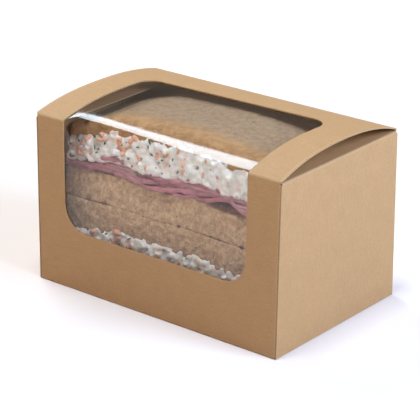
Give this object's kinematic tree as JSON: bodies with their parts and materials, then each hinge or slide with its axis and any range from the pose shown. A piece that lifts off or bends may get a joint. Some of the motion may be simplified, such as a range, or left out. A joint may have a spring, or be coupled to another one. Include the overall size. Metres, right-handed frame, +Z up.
{
  "type": "paperboard sandwich box",
  "caption": "Rectangular kraft paperboard sandwich box with a bowed top, a clear window over the top and front, tuck-in end flaps and a stacked sandwich inside.",
  "frame": {"origin": "middle of the base's underside", "axes": "+X along the long side to the right-hand end flap, -Y to the windowed front, +Z up"},
  "size_m": [0.1262, 0.077, 0.0781],
  "materials": {
    "kraft_board": "uncoated brown kraft board with fine fibres",
    "window_film": "clear glossy film",
    "bread": "open brown crumb with a darker crust",
    "ham": "moist pink cooked ham",
    "coleslaw": "moist white cabbage with carrot and herbs"
  },
  "bodies": {
    "carton": {"carton_body": "kraft_board", "window_film": "window_film", "lower_sandwich_bottom_bread": "bread", "lower_sandwich_ham_1": "ham", "lower_sandwich_ham_2": "ham", "lower_sandwich_coleslaw": "coleslaw", "lower_sandwich_top_bread": "bread", "upper_sandwich_bottom_bread": "bread", "upper_sandwich_ham_1": "ham", "upper_sandwich_ham_2": "ham", "upper_sandwich_ham_3": "ham", "upper_sandwich_coleslaw": "coleslaw", "upper_sandwich_top_bread": "bread"},
    "right_end": {"right_end_flap": "kraft_board"},
    "left_end": {"left_end_flap": "kraft_board"}
  },
  "joints": [
    {"name": "right_end_flap_hinge", "type": "hinge", "parent": "carton", "child": "right_end", "pos_m": [0.062, 0, 0.0005], "axis": [0, 1, 0], "range_deg": [0, 89]},
    {"name": "left_end_flap_hinge", "type": "hinge", "parent": "carton", "child": "left_end", "pos_m": [-0.062, 0, 0.0005], "axis": [0, -1, 0], "range_deg": [0, 89]}
  ]
}
